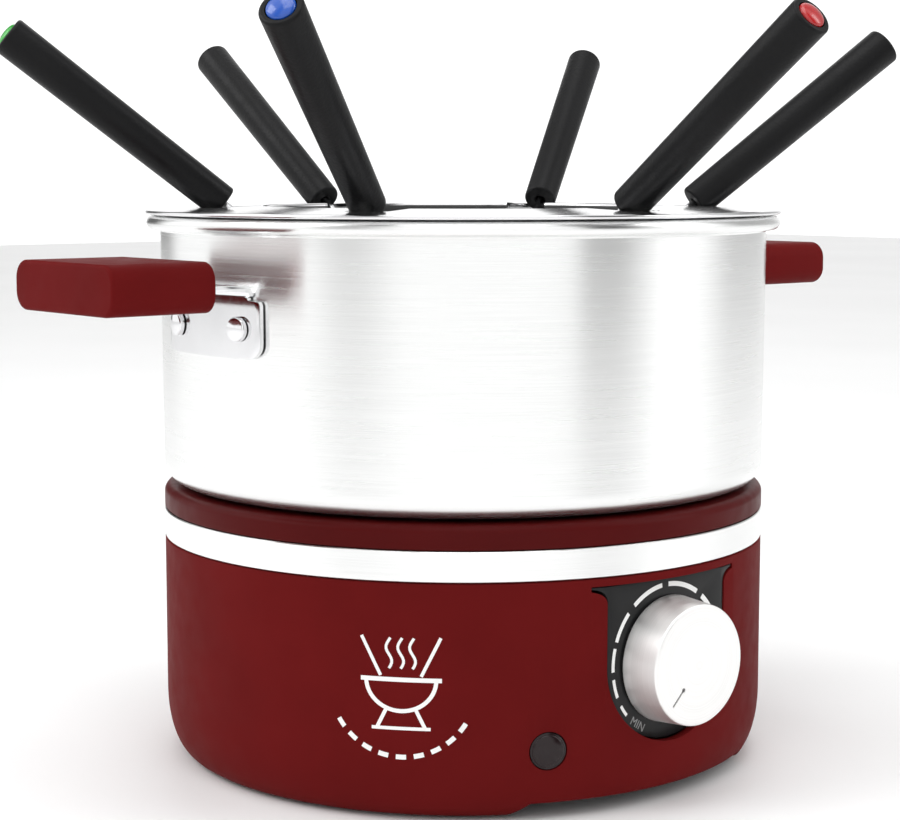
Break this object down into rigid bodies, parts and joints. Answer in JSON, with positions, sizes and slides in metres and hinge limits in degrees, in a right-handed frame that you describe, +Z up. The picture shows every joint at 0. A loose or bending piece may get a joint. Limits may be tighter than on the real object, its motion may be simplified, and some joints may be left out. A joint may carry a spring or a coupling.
{
  "type": "electric fondue set",
  "caption": "Round heated base with a dial, a steel pot with two side grips resting on it, and a slotted ring holding long colour-tipped forks.",
  "frame": {"origin": "on the pot's axis, at the level of the surface that the base stands on", "axes": "+Z up along the pot's axis, -Y towards the control knob, +X and -X towards the pot's two grips"},
  "size_m": [0.272, 0.2714, 0.216],
  "materials": {
    "burgundy_paint": "moulded burgundy plastic, satin",
    "brushed_steel": "brushed stainless steel, grain round the pot",
    "polished_steel": "bright polished stainless steel",
    "aluminium": "satin aluminium",
    "black_plastic": "fine-textured black plastic",
    "plate_enamel": "black enamelled hot plate",
    "rubber": "matt black rubber",
    "ceramic": "unglazed ceramic insulator",
    "brass": "plain brass",
    "smoked_lens": "dark translucent lamp lens",
    "cap_red": "glossy red plastic",
    "cap_purple": "glossy purple plastic",
    "cap_orange": "glossy orange plastic",
    "cap_yellow": "glossy yellow plastic",
    "cap_green": "glossy green plastic",
    "cap_blue": "glossy blue plastic",
    "wire_live": "sleeved internal wire",
    "wire_neutral": "sleeved internal wire",
    "wire_earth": "sleeved internal wire"
  },
  "bodies": {
    "base": {"base_housing": "burgundy_paint", "trim_band": "brushed_steel", "top_collar": "burgundy_paint", "hot_plate": "plate_enamel", "heating_element": "polished_steel", "heat_shield": "aluminium", "cross_bar": "polished_steel", "plate_nut": "polished_steel", "base_cover": "black_plastic", "rubber_foot_1": "rubber", "rubber_foot_2": "rubber", "rubber_foot_3": "rubber", "rubber_foot_4": "rubber", "cover_screw_1": "polished_steel", "cover_screw_2": "polished_steel", "cover_screw_3": "polished_steel", "cover_screw_4": "polished_steel", "control_bezel": "black_plastic", "thermostat_body": "ceramic", "thermostat_nut": "brass", "lamp_lens": "smoked_lens", "lamp_bulb": "brass", "cord_gland": "rubber", "terminal_block": "ceramic", "thermal_fuse": "polished_steel", "lead_live": "wire_live", "lead_neutral": "wire_neutral", "lead_earth": "wire_earth"},
    "knob": {"knob_shell": "aluminium", "knob_core": "black_plastic", "thermostat_shaft": "polished_steel"},
    "pot": {"pot_shell": "brushed_steel", "bracket_left": "polished_steel", "bracket_right": "polished_steel", "grip_left": "burgundy_paint", "grip_right": "burgundy_paint", "rivet_left_front": "polished_steel", "rivet_left_back": "polished_steel", "rivet_right_front": "polished_steel", "rivet_right_back": "polished_steel"},
    "ring": {"fork_ring": "polished_steel"},
    "fork_1": {"fork_1_handle": "black_plastic", "fork_1_cap": "cap_red", "fork_1_tines": "polished_steel"},
    "fork_2": {"fork_2_handle": "black_plastic", "fork_2_cap": "cap_purple", "fork_2_tines": "polished_steel"},
    "fork_3": {"fork_3_handle": "black_plastic", "fork_3_cap": "cap_orange", "fork_3_tines": "polished_steel"},
    "fork_4": {"fork_4_handle": "black_plastic", "fork_4_cap": "cap_yellow", "fork_4_tines": "polished_steel"},
    "fork_5": {"fork_5_handle": "black_plastic", "fork_5_cap": "cap_green", "fork_5_tines": "polished_steel"},
    "fork_6": {"fork_6_handle": "black_plastic", "fork_6_cap": "cap_blue", "fork_6_tines": "polished_steel"}
  },
  "joints": [
    {"name": "knob_turn", "type": "hinge", "parent": "base", "child": "knob", "pos_m": [0, -0.088, 0.0405], "axis": [0, 1, 0], "range_deg": [0, 270]},
    {"name": "pot_lift", "type": "slide", "parent": "base", "child": "pot", "axis": [0, 0, 1], "range_m": [0, 0.12]},
    {"name": "ring_lift", "type": "slide", "parent": "pot", "child": "ring", "axis": [0, 0, 1], "range_m": [0, 0.12]},
    {"name": "fork_1_draw", "type": "slide", "parent": "ring", "child": "fork_1", "axis": [0.041, -0.7848, 0.6184], "range_m": [0, 0.15]},
    {"name": "fork_2_draw", "type": "slide", "parent": "ring", "child": "fork_2", "axis": [0.7001, -0.3569, 0.6184], "range_m": [0, 0.15]},
    {"name": "fork_3_draw", "type": "slide", "parent": "ring", "child": "fork_3", "axis": [0.6591, 0.4279, 0.6184], "range_m": [0, 0.15]},
    {"name": "fork_4_draw", "type": "slide", "parent": "ring", "child": "fork_4", "axis": [-0.041, 0.7848, 0.6184], "range_m": [0, 0.15]},
    {"name": "fork_5_draw", "type": "slide", "parent": "ring", "child": "fork_5", "axis": [-0.7001, 0.3569, 0.6184], "range_m": [0, 0.15]},
    {"name": "fork_6_draw", "type": "slide", "parent": "ring", "child": "fork_6", "axis": [-0.6591, -0.4279, 0.6184], "range_m": [0, 0.15]}
  ]
}
